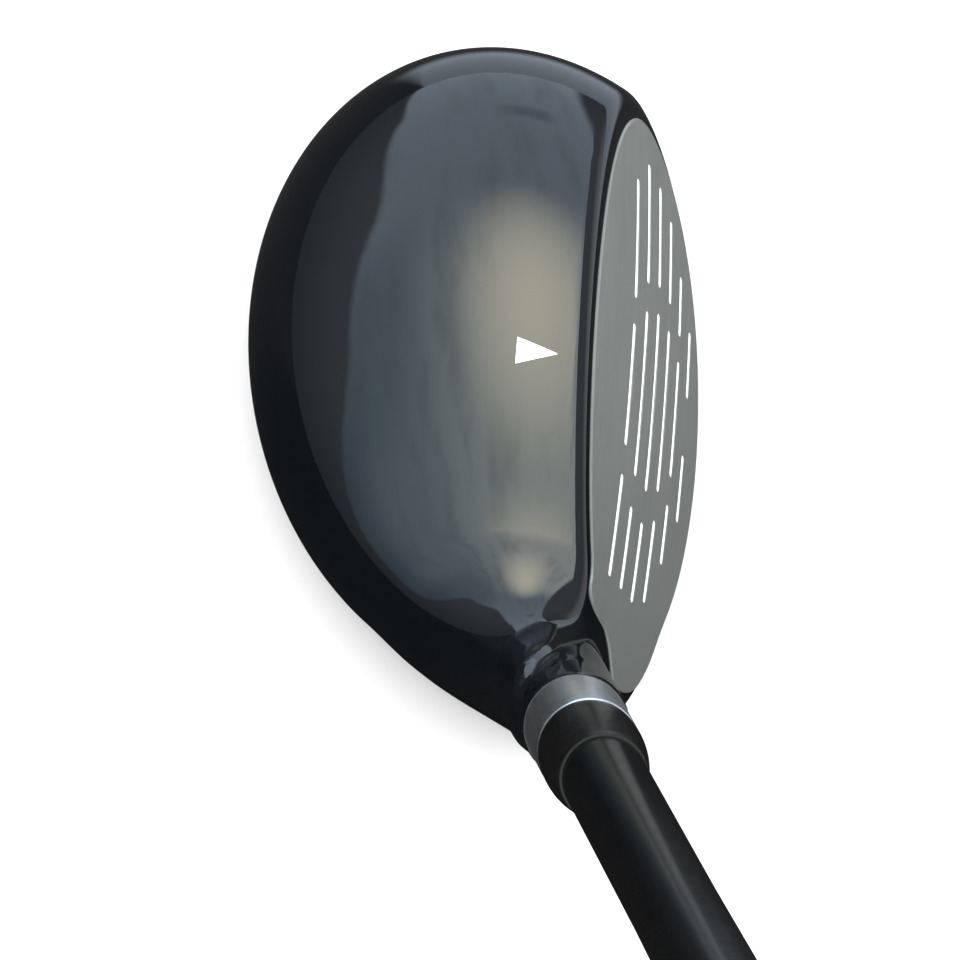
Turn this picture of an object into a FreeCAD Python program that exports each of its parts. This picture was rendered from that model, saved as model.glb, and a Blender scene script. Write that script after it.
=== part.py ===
import FreeCAD, Part
import math
import os
import Sketcher

# A left-handed, high-lofted fairway wood, set down at address.
# +X is the target line, +Y runs from heel to toe, +Z is up, and the origin is on the sole.
# Millimetres and degrees. "Station" means a distance along the shaft axis from the ground line.

SIZES = [
    # name, value, what it is
    ("lie_angle", 60, "shaft axis above the ground"),
    ("loft_angle", 28.5, "face backward lean at its centre"),
    ("shaft_x", 10, "shaft axis, in front of the origin"),
    ("shaft_y", -28.9, "where the shaft axis meets the ground"),
    ("head_x", 3.1, "middle of the head outline"),
    ("head_y", -0.35, "middle of the head outline"),
    ("seam_height", 18, "crown seam above the ground, at the middle"),
    ("seam_drop_angle", 4.9, "crown seam falls towards the back"),
    ("seam_toe_angle", 2.5, "crown seam rises towards the toe"),
    ("outline_turn", 12.7, "long axis of the outline, swung to the back at the toe"),
    ("half_depth", 31.85, "outline, front to back"),
    ("half_width", 40.5, "outline, heel to toe"),
    ("crown_rise", 19.2, "crown above the seam"),
    ("skirt_drop", 26.6, "depth of the skirt bowl below the seam"),
    ("crown_wall", 0.9, "crown sheet"),
    ("skirt_wall", 1.3, "skirt wall"),
    ("sole_wall", 2.4, "sole wall"),
    ("sole_round", 5, "radius where skirt meets sole"),
    ("face_x", 21.4, "centre of the face"),
    ("face_height", 16.75, "centre of the face"),
    ("face_ball", 340, "radius of the face bulge and roll"),
    ("face_wall", 2.4, "face plate thickness"),
    ("face_inset", 0.9, "face plate drawn in from the head outline"),
    ("face_dip", 0.7, "face plate outline moved down and to the heel"),
    ("face_round", 1.2, "radius of the rim around the face"),
    ("score_width", 0.9, "score line"),
    ("score_depth", 0.35, "score line"),
    ("score_pitch", 4, "from one row of score lines to the next"),
    ("hosel_radius", 6.15, "bare steel hosel"),
    ("hosel_foot", 21, "station of the lower end of the hosel"),
    ("hosel_top", 64.3, "station of the upper end of the hosel"),
    ("bore_radius", 4.85, "hosel bore"),
    ("bore_floor", 30, "station where the shaft tip rests"),
    ("plug_thickness", 2, "disc below the shaft tip"),
    ("neck_radius", 6.4, "painted neck around the hosel"),
    ("neck_foot", 3, "station of the foot of the neck, inside the head"),
    ("neck_foot_radius", 3, "painted neck at its foot"),
    ("neck_belly", 27, "station where the neck stops swelling"),
    ("neck_belly_radius", 7.24, "painted neck at its belly"),
    ("neck_belly_bow", 40.8, "radius of the swelling side"),
    ("neck_waist", 40, "station where the neck becomes straight"),
    ("neck_waist_bow", 101, "radius of the hollow side"),
    ("neck_top", 50.5, "station where the paint ends"),
    ("neck_zone", 13, "reach of the casting around the neck"),
    ("neck_core", 8.2, "solid metal around the hosel inside the head"),
    ("heel_relief", 8.4, "face plate stays this far from the shaft axis"),
    ("fairing_x", 0.5, "wide end of the cone that fairs the neck into the head"),
    ("fairing_y", -28, "wide end of the fairing"),
    ("fairing_height", 19, "wide end of the fairing"),
    ("fairing_root", 12.3, "radius of the wide end"),
    ("fairing_tip", 6.1, "radius of the narrow end"),
    ("fairing_station", 37, "station of the narrow end"),
    ("tip_radius", 4.7, "bare shaft tip in the hosel and ferrule"),
    ("shaft_radius", 4.95, "painted shaft above the ferrule"),
    ("shaft_butt_radius", 7.62, "shaft under the grip"),
    ("shaft_taper_start", 150, "station"),
    ("shaft_taper_end", 740, "station"),
    ("shaft_end", 1009.5, "station"),
    ("tip_bore_radius", 2.9, "inside of the shaft tip"),
    ("butt_bore_radius", 6.5, "inside of the shaft butt"),
    ("fit_gap", 0.03, "between glued round pieces"),
    ("tip_weight_length", 20, "brass pin in the shaft tip"),
    ("ferrule_end", 80.25, "station"),
    ("ferrule_end_radius", 5.15, "upper rim of the ferrule"),
    ("ferrule_bow", 60, "radius of the ferrule side"),
    ("grip_start", 749, "station"),
    ("grip_end", 1010, "station"),
    ("club_length", 1016, "station of the cap top"),
    ("tape_radius", 7.8, "outside of the grip tape"),
    ("grip_bore_radius", 7.83, "inside of the grip"),
    ("grip_mouth_radius", 10.2, "grip at its lower end"),
    ("grip_butt_radius", 13.2, "grip below the cap"),
    ("cap_radius", 14.8, "grip cap"),
    ("vent_radius", 1.6, "air hole in the cap"),
    ("mark_length", 4.9, "white sight mark on the crown"),
    ("mark_width", 3.3, "white sight mark on the crown"),
    ("mark_x", 0.8, "tail of the sight mark"),
    ("mark_y", -5.4, "line of the sight mark"),
    ("mark_paint", 0.08, "thickness of the sight mark"),
    ("weight_radius", 11, "slug on the sole"),
    ("weight_height", 4, "slug on the sole"),
    ("weight_x", -3, "slug on the sole"),
    ("weight_y", 4, "slug on the sole"),
    ("glue_radius", 7, "rattle glue beside the slug"),
    ("glue_height", 2.2, "rattle glue beside the slug"),
    ("glue_x", 2, "rattle glue beside the slug"),
    ("glue_y", -15.5, "rattle glue beside the slug"),
]

# Score lines, from the top row down. Each pair is a line's toe end and heel end,
# measured from the middle of the face.
SCORE_ROWS = [
    [(22.6, 7.9), (3.7, -11.1), (-15.7, -27.9)],
    [(26.1, 11.3), (6.8, -13.6), (-18.4, -28.1)],
    [(24.6, 12.3), (8.0, -14.1), (-19.0, -28.4)],
    [(21.7, 11.7), (7.3, -12.7), (-17.3, -27.0)],
    [(15.9, 9.0), (4.8, -9.3), (-13.8, -20.6)],
    [(10.2, 2.4), (-5.9, -13.7)],
]
TOP_ROW = 2.5        # the top row, in pitches above the middle of the face

BIG = 200            # size of the drums that only cut

doc = FreeCAD.newDocument("FairwayWood")
sheet = doc.addObject("Spreadsheet::Sheet", "Club")
pieces = []


def fill_sheet():
    for row, (name, value, note) in enumerate(SIZES, start=1):
        sheet.set("A%d" % row, name)
        sheet.set("B%d" % row, str(value))
        sheet.set("C%d" % row, note)
        sheet.setAlias("B%d" % row, name)
    doc.recompute()


def size(name):
    return float(sheet.get(name))


def bind(thing, **expressions):
    for name, expression in expressions.items():
        thing.setExpression(name, expression)


def place(thing, x, y, z, rotation):
    thing.Placement = FreeCAD.Placement(FreeCAD.Vector(0, 0, 0), rotation)
    for axis, expression in zip("xyz", (x, y, z)):
        thing.setExpression("Placement.Base." + axis, expression)


def keep(thing, label):
    thing.Label = label
    pieces.append(thing)
    return thing


def about(x, y, z, angle):
    return FreeCAD.Rotation(FreeCAD.Vector(x, y, z), angle)


# ---- frames -------------------------------------------------------------------

def on_shaft(thing):
    """Local Z runs up the shaft and local zero is where its axis meets the ground."""
    place(thing, "Club.shaft_x", "Club.shaft_y", "0", about(1, 0, 0, 90 - size("lie_angle")))


def on_seam(thing, half_turn=0):
    """Local XY is the crown seam and local Y is the long axis of the outline."""
    turn = about(0, 0, 1, size("outline_turn") + half_turn)
    rise = about(1, 0, 0, size("seam_toe_angle"))
    drop = about(0, 1, 0, -size("seam_drop_angle"))
    rotation = drop.multiply(rise).multiply(turn)
    place(thing, "Club.head_x", "Club.head_y", "Club.seam_height", rotation)


def on_face(thing):
    """Local Z leaves the face, local X runs to the toe and local Y up the face."""
    lean = math.radians(size("loft_angle"))
    toe = FreeCAD.Vector(0, 1, 0)
    up = FreeCAD.Vector(-math.sin(lean), 0, math.cos(lean))
    turn = FreeCAD.Rotation(toe, up, FreeCAD.Vector(0, 0, 0), "XYZ")
    place(thing, "Club.face_x", "0", "Club.face_height", turn)


# ---- general makers -----------------------------------------------------------

def origin_plane(body, role):
    return [item for item in body.Origin.OriginFeatures if item.Role == role][0]


def new_sketch(body, plane):
    sketch = body.newObject("Sketcher::SketchObject", body.Name + "_sketch")
    sketch.AttachmentSupport = [(origin_plane(body, plane), "")]
    sketch.MapMode = "FlatFace"
    return sketch


def fix_point(sketch, edge, end, across, along):
    """Holds one end of an edge at two signed distances that the sheet drives."""
    for kind, expression in (("DistanceX", across), ("DistanceY", along)):
        value = float(sketch.evalExpression(expression))
        if abs(value) < 1e-9:
            axis = -2 if kind == "DistanceX" else -1
            sketch.addConstraint(Sketcher.Constraint("PointOnObject", edge, end, axis))
            continue
        rule = Sketcher.Constraint(kind, -1, 1, edge, end, value)
        index = sketch.addConstraint(rule)
        sketch.setExpression("Constraints[%d]" % index, expression)


def bowed_arc(start, end, radius):
    """An arc from start to end; a positive radius bows it to the right of its travel."""
    chord = end - start
    middle = (start + end) * 0.5
    right = FreeCAD.Vector(chord.y, -chord.x, 0).normalize()
    bow = abs(radius) - math.sqrt(radius ** 2 - (chord.Length / 2) ** 2)
    return Part.Arc(start, middle + right * math.copysign(bow, radius), end)


def turned_body(name, profile):
    """A body turned about local Z. Each corner is (radius, station), and a third entry
    makes the edge that leaves the corner an arc of that radius."""
    body = doc.addObject("PartDesign::Body", name)
    sketch = new_sketch(body, "XZ_Plane")
    corners = []
    for corner in profile:
        across = float(sketch.evalExpression(corner[0]))
        along = float(sketch.evalExpression(corner[1]))
        corners.append(FreeCAD.Vector(across, along, 0))
    ends = []
    for index, corner in enumerate(profile):
        start = corners[index]
        finish = corners[(index + 1) % len(corners)]
        if len(corner) == 3:
            bow = float(sketch.evalExpression(corner[2]))
            edge = sketch.addGeometry(bowed_arc(start, finish, bow), False)
            swapped = sketch.getPoint(edge, 1).distanceToPoint(start) > 1e-6
        else:
            edge = sketch.addGeometry(Part.LineSegment(start, finish), False)
            swapped = False
        ends.append((edge, 2, 1) if swapped else (edge, 1, 2))
    for index, corner in enumerate(profile):
        edge, first, last = ends[index]
        following, start, _ = ends[(index + 1) % len(ends)]
        sketch.addConstraint(Sketcher.Constraint("Coincident", edge, last, following, start))
        fix_point(sketch, edge, first, corner[0], corner[1])
        if len(corner) == 3:
            bow = abs(float(sketch.evalExpression(corner[2])))
            rule = sketch.addConstraint(Sketcher.Constraint("Radius", edge, bow))
            sketch.setExpression("Constraints[%d]" % rule, "abs(%s)" % corner[2])
    turn = body.newObject("PartDesign::Revolution", name + "_turn")
    turn.Profile = sketch
    turn.ReferenceAxis = (sketch, ["V_Axis"])
    turn.Angle = 360
    on_shaft(body)
    return body


def combine(kind, name, *things):
    thing = doc.addObject(kind, name)
    if kind == "Part::Cut":
        thing.Base, thing.Tool = things
    else:
        thing.Shapes = list(things)
    return thing


def above(name, level):
    """Everything near the head that is higher than level."""
    drum = doc.addObject("Part::Cylinder", name)
    drum.Radius = BIG
    drum.Height = BIG
    place(drum, "0", "0", level, about(0, 0, 1, 0))
    return drum


def shaft_cylinder(name, radius, start, finish):
    rod = doc.addObject("Part::Cylinder", name)
    bind(rod, Radius=radius, Height="%s - (%s)" % (finish, start))
    lean = "(Club.lie_angle * 1deg)"
    turn = about(1, 0, 0, 90 - size("lie_angle"))
    place(rod, "Club.shaft_x", "Club.shaft_y - (%s) * cos%s" % (start, lean),
          "(%s) * sin%s" % (start, lean), turn)
    return rod


def half_ellipsoid(name, upper, inset, height):
    """The crown dome or the skirt bowl, drawn in from the outline by inset. The dome
    sits on the seam plane and the bowl hangs from it."""
    half = doc.addObject("Part::Ellipsoid", name)
    bind(half, Radius1=height, Radius2="Club.half_depth - " + inset,
         Radius3="Club.half_width - " + inset)
    half.Angle1 = 0 if upper else -90
    half.Angle2 = 90 if upper else 0
    on_seam(half, 180)
    return half


def pebble(name, crown_inset, skirt_inset):
    dome = half_ellipsoid(name + "_dome", True, crown_inset, "Club.crown_rise - " + crown_inset)
    bowl = half_ellipsoid(name + "_bowl", False, skirt_inset, "Club.skirt_drop - " + skirt_inset)
    return combine("Part::MultiFuse", name, dome, bowl)


def face_ball(name, inset):
    """The ball whose surface carries the face; its seam faces backwards."""
    ball = doc.addObject("Part::Sphere", name)
    bind(ball, Radius="Club.face_ball - " + inset)
    reach = "Club.face_ball * %s(Club.loft_angle * 1deg)"
    place(ball, "Club.face_x - " + reach % "cos", "0",
          "Club.face_height - " + reach % "sin", about(0, 0, 1, 180))
    return ball


def rounded(name, base, picks, radius):
    """Rounds the edges of base for which picks(edge) is true."""
    doc.recompute()
    chosen = []
    for index, edge in enumerate(base.Shape.Edges, start=1):
        if not edge.Degenerated and picks(edge):
            chosen.append((index, size(radius), size(radius)))
    round_off = doc.addObject("Part::Fillet", name)
    round_off.Base = base
    round_off.Edges = chosen
    return round_off


def samples(edge):
    first, last = edge.ParameterRange
    return [edge.valueAt(first + (last - first) * step / 8) for step in range(9)]


def face_surface_distance(point):
    centre = doc.getObject("face_surface").Placement.Base
    return abs(point.distanceToPoint(centre) - size("face_ball"))


def trimmed_head():
    """The pebble cut off at the sole and the face, with both edges rounded."""
    form = pebble("head_pebble", "0", "0")
    trimmed = combine("Part::MultiCommon", "head_trimmed", form,
                      above("ground_block", "0"), face_ball("face_surface", "0"))
    on_sole = lambda edge: all(abs(point.z) < 0.01 for point in samples(edge))
    soled = rounded("head_soled", trimmed, on_sole, "sole_round")
    on_face = lambda edge: all(face_surface_distance(point) < 0.02 for point in samples(edge))
    return rounded("head_rimmed", soled, on_face, "face_round")


def neck_form():
    return turned_body("neck_form", [
        ("0", "Club.neck_foot"),
        ("Club.neck_foot_radius", "Club.neck_foot", "Club.neck_belly_bow"),
        ("Club.neck_belly_radius", "Club.neck_belly", "-Club.neck_waist_bow"),
        ("Club.neck_radius", "Club.neck_waist"),
        ("Club.neck_radius", "Club.neck_top"),
        ("0", "Club.neck_top"),
    ])


def neck_fairing():
    """A cone from inside the heel to the waist of the neck."""
    lean = math.radians(size("lie_angle"))
    station = size("fairing_station")
    wide = FreeCAD.Vector(size("fairing_x"), size("fairing_y"), size("fairing_height"))
    narrow = FreeCAD.Vector(size("shaft_x"), size("shaft_y") - station * math.cos(lean),
                            station * math.sin(lean))
    cone = doc.addObject("Part::Cone", "neck_fairing")
    bind(cone, Radius1="Club.fairing_root", Radius2="Club.fairing_tip")
    cone.Height = (narrow - wide).Length
    turn = FreeCAD.Rotation(FreeCAD.Vector(0, 0, 1), narrow - wide)
    place(cone, "Club.fairing_x", "Club.fairing_y", "Club.fairing_height", turn)
    return cone


def head_form():
    return combine("Part::MultiFuse", "head_form", trimmed_head(), neck_form(), neck_fairing())


# ---- head pieces ----------------------------------------------------------------

def hollow(form):
    """Takes the space out of the head, below the seam and then above it, and leaves
    the metal around the hosel standing."""
    back = face_ball("face_back", "Club.face_wall")
    core = shaft_cylinder("neck_core", "Club.neck_core", "0", "Club.neck_top")
    bowl = half_ellipsoid("cavity_bowl", False, "Club.skirt_wall",
                          "Club.skirt_drop - Club.skirt_wall")
    floored = combine("Part::MultiCommon", "cavity_floored", bowl,
                      above("cavity_floor", "Club.sole_wall"))
    lower = combine("Part::MultiCommon", "cavity_lower",
                    combine("Part::Cut", "cavity_bowl_clear", floored, core), back)
    dome = half_ellipsoid("cavity_dome", True, "Club.crown_wall",
                          "Club.crown_rise - Club.crown_wall")
    fronted = combine("Part::MultiCommon", "cavity_fronted", dome, back)
    upper = combine("Part::Cut", "cavity_upper", fronted, core)
    opened = combine("Part::Cut", "head_opened", form, lower)
    return combine("Part::Cut", "head_hollowed", opened, upper)


def face_plate(form):
    """The brushed plate let into the front of the head."""
    outline = pebble("face_outline", "Club.face_inset", "Club.face_inset")
    for half in outline.Shapes:
        half.setExpression("Placement.Base.z", "Club.seam_height - Club.face_dip")
        half.setExpression("Placement.Base.y", "Club.head_y - Club.face_dip")
    behind = doc.getObject("face_back")
    front = combine("Part::Cut", "face_layer", form, behind)
    relief = shaft_cylinder("heel_relief", "Club.heel_relief", "0", "Club.hosel_top")
    blank = combine("Part::MultiCommon", "face_blank", front, outline)
    return combine("Part::Cut", "face_full", blank, relief)


def score_slots():
    """All the score lines as one set of slots that stand through the face."""
    body = doc.addObject("PartDesign::Body", "score_slots")
    sketch = new_sketch(body, "XY_Plane")
    half = size("score_width") / 2
    for row, lines in enumerate(SCORE_ROWS):
        height = "(%s) * Club.score_pitch" % (TOP_ROW - row)
        level = float(sketch.evalExpression(height))
        for toe_end, heel_end in lines:
            heel = FreeCAD.Vector(heel_end, level, 0)
            toe = FreeCAD.Vector(toe_end, level, 0)
            up = FreeCAD.Vector(0, half, 0)
            out = FreeCAD.Vector(half, 0, 0)
            sides = [Part.LineSegment(heel - up, toe - up), Part.Arc(toe - up, toe + out, toe + up),
                     Part.LineSegment(toe + up, heel + up), Part.Arc(heel + up, heel - out, heel - up)]
            lower, toe_cap, upper, heel_cap = sketch.addGeometry(sides, False)
            chain = [lower, toe_cap, upper, heel_cap]
            for edge, following in zip(chain, chain[1:] + chain[:1]):
                sketch.addConstraint(Sketcher.Constraint("Tangent", edge, 2, following, 1))
            width = sketch.addConstraint(Sketcher.Constraint("Radius", toe_cap, half))
            sketch.setExpression("Constraints[%d]" % width, "Club.score_width / 2")
            fix_point(sketch, toe_cap, 3, str(toe_end), height)
            fix_point(sketch, heel_cap, 3, str(heel_end), height)
    pad = body.newObject("PartDesign::Pad", "score_slots_pad")
    pad.Profile = sketch
    pad.SideType = "Symmetric"
    pad.setExpression("Length", "4 * Club.face_wall")
    on_face(body)
    return body


def crown_region():
    """Above the seam and clear of the casting around the neck."""
    upper = doc.addObject("Part::Cylinder", "seam_drum")
    upper.Radius = BIG
    upper.Height = BIG
    on_seam(upper)
    zone = shaft_cylinder("neck_zone", "Club.neck_zone", "0", "2 * Club.hosel_top")
    return combine("Part::Cut", "crown_region", upper, zone)


def head_pieces():
    form = head_form()
    hollowed = hollow(form)
    plate = face_plate(form)
    slots = score_slots()
    floor_of_slots = face_ball("score_floor", "Club.score_depth")
    deep = combine("Part::MultiCommon", "score_deep", plate, slots)
    paint = combine("Part::Cut", "score_lines", deep, floor_of_slots)
    keep(paint, "score_line_paint")
    keep(combine("Part::Cut", "face_scored", plate, paint), "face_plate")
    bore = shaft_cylinder("hosel_seat", "Club.hosel_radius", "Club.hosel_foot",
                          "Club.hosel_top")
    open_front = combine("Part::Cut", "head_open", hollowed, plate)
    shell = combine("Part::Cut", "head_shell", open_front, bore)
    region = crown_region()
    keep(combine("Part::MultiCommon", "crown_sheet", shell, region), "crown")
    keep(combine("Part::Cut", "body_casting", shell, region), "head_body")


def sight_mark():
    """A plain white triangle on the crown that points along the target line."""
    body = doc.addObject("PartDesign::Body", "mark_prism")
    sketch = new_sketch(body, "XY_Plane")
    across = size("mark_width") / 2
    tip = FreeCAD.Vector(size("mark_length"), 0, 0)
    left = FreeCAD.Vector(0, across, 0)
    right = FreeCAD.Vector(0, -across, 0)
    edges = [Part.LineSegment(right, tip), Part.LineSegment(tip, left),
             Part.LineSegment(left, right)]
    for edge in sketch.addGeometry(edges, False):
        sketch.addConstraint(Sketcher.Constraint("Coincident", edge, 2, (edge + 1) % 3, 1))
    fix_point(sketch, 0, 1, "0", "-Club.mark_width / 2")
    fix_point(sketch, 1, 1, "Club.mark_length", "0")
    fix_point(sketch, 2, 1, "0", "Club.mark_width / 2")
    pad = body.newObject("PartDesign::Pad", "mark_prism_pad")
    pad.Profile = sketch
    pad.setExpression("Length", "2 * Club.crown_rise")
    place(body, "Club.mark_x", "Club.mark_y", "Club.seam_height", about(0, 0, 1, 0))
    skin = half_ellipsoid("mark_skin", True, "(-Club.mark_paint)",
                          "Club.crown_rise + Club.mark_paint")
    painted = combine("Part::MultiCommon", "mark_painted", skin, body)
    return combine("Part::Cut", "mark_layer", painted, doc.getObject("head_pebble_dome"))


def sole_slug():
    slug = doc.addObject("Part::Cylinder", "slug")
    bind(slug, Radius="Club.weight_radius", Height="Club.weight_height")
    place(slug, "Club.weight_x", "Club.weight_y", "Club.sole_wall", about(0, 0, 1, 0))
    return slug


def rattle_glue():
    dome = doc.addObject("Part::Ellipsoid", "glue_dome")
    bind(dome, Radius1="Club.glue_height", Radius2="Club.glue_radius",
         Radius3="Club.glue_radius")
    dome.Angle1 = 0
    dome.Angle2 = 90
    place(dome, "Club.glue_x", "Club.glue_y", "Club.sole_wall", about(0, 0, 1, 0))
    return dome


# ---- pieces on the shaft axis -----------------------------------------------------

def tube(name, outer, inner, start, finish):
    return turned_body(name, [(inner, start), (outer, start), (outer, finish), (inner, finish)])


def disc(name, radius, start, finish):
    return turned_body(name, [("0", start), (radius, start), (radius, finish), ("0", finish)])


def shaft_pieces():
    keep(tube("hosel_tube", "Club.hosel_radius", "Club.bore_radius", "Club.hosel_foot",
              "Club.hosel_top"), "hosel")
    keep(disc("stop_disc", "Club.bore_radius", "Club.bore_floor - Club.plug_thickness",
              "Club.bore_floor"), "bore_stop")
    keep(tube("glue_sleeve", "Club.bore_radius - Club.fit_gap",
              "Club.tip_radius + Club.fit_gap", "Club.bore_floor", "Club.hosel_top"),
         "shaft_epoxy")
    keep(turned_body("shaft_tube", [
        ("Club.tip_bore_radius", "Club.bore_floor"),
        ("Club.tip_radius", "Club.bore_floor"),
        ("Club.tip_radius", "Club.ferrule_end"),
        ("Club.shaft_radius", "Club.ferrule_end"),
        ("Club.shaft_radius", "Club.shaft_taper_start"),
        ("Club.shaft_butt_radius", "Club.shaft_taper_end"),
        ("Club.shaft_butt_radius", "Club.shaft_end"),
        ("Club.butt_bore_radius", "Club.shaft_end"),
        ("Club.butt_bore_radius", "Club.shaft_taper_end"),
        ("Club.tip_bore_radius", "Club.shaft_taper_start"),
    ]), "shaft")
    keep(disc("tip_pin", "Club.tip_bore_radius - Club.fit_gap", "Club.bore_floor",
              "Club.bore_floor + Club.tip_weight_length"), "tip_weight")
    keep(turned_body("ferrule_sleeve", [
        ("Club.tip_radius + Club.fit_gap", "Club.hosel_top"),
        ("Club.hosel_radius", "Club.hosel_top", "Club.ferrule_bow"),
        ("Club.ferrule_end_radius", "Club.ferrule_end"),
        ("Club.tip_radius + Club.fit_gap", "Club.ferrule_end"),
    ]), "ferrule")
    keep(tube("tape_sleeve", "Club.tape_radius", "Club.shaft_butt_radius + Club.fit_gap",
              "Club.grip_start + 6", "Club.shaft_end - 2"), "grip_tape")
    keep(turned_body("grip_sleeve", [
        ("Club.grip_bore_radius", "Club.grip_start"),
        ("Club.grip_mouth_radius - 0.8", "Club.grip_start"),
        ("Club.grip_mouth_radius", "Club.grip_start + 1.5"),
        ("Club.grip_butt_radius", "Club.grip_end"),
        ("Club.grip_bore_radius", "Club.grip_end"),
    ]), "grip")
    keep(turned_body("grip_end", [
        ("Club.vent_radius", "Club.grip_end"),
        ("Club.cap_radius - 0.8", "Club.grip_end"),
        ("Club.cap_radius", "Club.grip_end + 1.2"),
        ("Club.cap_radius - 1", "Club.club_length - 1.8", "16"),
        ("Club.vent_radius", "Club.club_length"),
    ]), "grip_cap")


# ---- build, check, write ------------------------------------------------------------

def check():
    doc.recompute()
    for thing in doc.Objects:
        if "Invalid" in thing.State or "Error" in thing.State:
            raise RuntimeError("%s failed: %s" % (thing.Name, thing.State))
    for piece in pieces:
        shape = piece.Shape
        if shape.isNull() or not shape.isValid() or not shape.Solids:
            raise RuntimeError("%s has no sound solid" % piece.Label)


def write():
    os.makedirs("parts", exist_ok=True)
    for piece in pieces:
        piece.Shape.exportStep("parts/%s.step" % piece.Label)
        print("%-18s %9.1f mm3 %3d solids" % (piece.Label, piece.Shape.Volume,
                                             len(piece.Shape.Solids)))


fill_sheet()
head_pieces()
keep(sight_mark(), "sight_mark")
keep(sole_slug(), "sole_weight")
keep(rattle_glue(), "rattle_glue")
shaft_pieces()
check()
write()
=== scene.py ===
import math

import bmesh
import bpy
import numpy as np
from mathutils import Matrix, Vector


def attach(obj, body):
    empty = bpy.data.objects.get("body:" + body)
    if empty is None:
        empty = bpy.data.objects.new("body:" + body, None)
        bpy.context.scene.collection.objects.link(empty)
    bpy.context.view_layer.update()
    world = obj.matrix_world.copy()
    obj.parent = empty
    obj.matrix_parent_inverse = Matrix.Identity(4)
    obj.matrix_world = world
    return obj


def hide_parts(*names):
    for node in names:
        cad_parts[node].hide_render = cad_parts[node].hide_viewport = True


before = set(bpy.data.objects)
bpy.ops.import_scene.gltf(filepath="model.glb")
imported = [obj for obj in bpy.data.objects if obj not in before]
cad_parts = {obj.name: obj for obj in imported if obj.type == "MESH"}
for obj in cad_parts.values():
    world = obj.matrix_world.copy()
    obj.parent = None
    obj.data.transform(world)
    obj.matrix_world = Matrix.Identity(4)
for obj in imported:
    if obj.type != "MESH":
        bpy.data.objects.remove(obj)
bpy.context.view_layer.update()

# A left-handed fairway wood, set down at address: +X towards the target, +Y from heel to toe.
# Shapes are worked out in millimetres and stored in metres.
# "Station" means a distance along the shaft axis from the ground line.

MM = 0.001

# ---- sizes -------------------------------------------------------------------------

LIE = math.radians(60)
LOFT = math.radians(28.5)
SHAFT_FOOT = np.array([10, -28.9, 0])
SHAFT_LINE = np.array([0, -math.cos(LIE), math.sin(LIE)])

HEAD_MIDDLE = np.array([3.1, -0.35, 18])
HALF_DEPTH = 31.85
HALF_WIDTH = 40.5
CROWN_RISE = 19.2
SKIRT_DROP = 26.6
HEAD_TURN = np.array(Matrix.Rotation(math.radians(-4.9), 3, "Y")
                     @ Matrix.Rotation(math.radians(2.5), 3, "X")
                     @ Matrix.Rotation(math.radians(12.7), 3, "Z"))
SEAM_UP = HEAD_TURN[:, 2]

FACE_MIDDLE = np.array([21.4, 0, 16.75])
FACE_OUT = np.array([math.cos(LOFT), 0, math.sin(LOFT)])
FACE_UP = np.array([-math.sin(LOFT), 0, math.cos(LOFT)])
FACE_TOE = np.array([0, 1, 0])
FACE_BALL = 340
BALL_MIDDLE = FACE_MIDDLE - FACE_BALL * FACE_OUT
FACE_EDGE_ROUND = 1.15     # painted edge between crown and face
FACE_STANDS = 0.22         # steel plate stands this far out of the paint
PLATE_THICK = 1.1
PLATE_INSET = 0.9
HEEL_INSET = 0.05
PLATE_DIP = 0.7
PLATE_MIDDLE = (-2, 3)     # towards the toe and up from the middle of the face
PLATE_BEVEL = 0.32
HEEL_RELIEF = 7.3
SOLE_ROUND = 5

NECK_TOP = 50.5
HOSEL_RADIUS = 6.15
HOSEL_TOP = 64.3
FERRULE_END = 80.25
SHAFT_RADIUS = 4.95
BUTT_RADIUS = 7.62
TAPER = (150, 740)
GRIP = (749, 1010)
CLUB_LENGTH = 1016
CROWN_WALL = 0.9
SKIRT_WALL = 1.3

NECK_RADIUS = 7.24         # at its widest, where it leaves the head
NECK_WAIST = 6.4           # just below the end of the paint
NECK_FRONT = 6.45          # most it has on the side towards the target
NECK_SPAN = (27, 41)       # stations between which it narrows
HOSEL_FOOT = 21            # station of its lower end
HOSEL_BORE = 4.85
FERRULE_BORE = 4.73
TIP_RADIUS = 4.7
TIP_STATION = 30
SHAFT_BORE = 2.9
GRIP_BORE = 7.83
GRIP_RADII = (10.2, 13.2)  # mouth and butt

HEEL_CUT = -34.5           # the crown ends here, and the body goes on to the neck
HEEL_ROOT = np.array([2.1, -32.8, 15.6])
HEEL_ROOT_RADIUS = 4.0
HEEL_TIP = SHAFT_FOOT + NECK_TOP * SHAFT_LINE
HEEL_TIP_RADIUS = 6.0
HEEL_FLARE = 10.6
HEEL_CORNER = np.array([12.6, -38.8, 8.1])
HEEL_CORNER_RADIUS = 2.44
HEEL_CORNER_FILL = 15.9

SCORE_PITCH = 4
SCORE_HALF = 0.45
SCORE_DEPTH = 0.35
TOP_ROW = 2.5
# Rows from the top down; each pair is a line's toe end and heel end from the middle.
SCORE_ROWS = [
    [(22.6, 7.9), (3.7, -11.1), (-15.7, -27.9)],
    [(26.1, 11.3), (6.8, -13.6), (-18.4, -28.1)],
    [(24.6, 12.3), (8.0, -14.1), (-19.0, -28.4)],
    [(21.7, 11.7), (7.3, -12.7), (-17.3, -27.0)],
    [(15.9, 9.0), (4.8, -9.3), (-13.8, -20.6)],
    [(10.2, 2.4), (-5.9, -13.7)],
]


# ---- the form of the head, as distances from its surface -----------------------------

def length(rows):
    return np.sqrt((rows * rows).sum(axis=-1))


def ease(low, high, value):
    t = np.clip((value - low) / (high - low), 0, 1)
    return t * t * (3 - 2 * t)


def blend(a, b, share):
    return a + (b - a) * share


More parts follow.
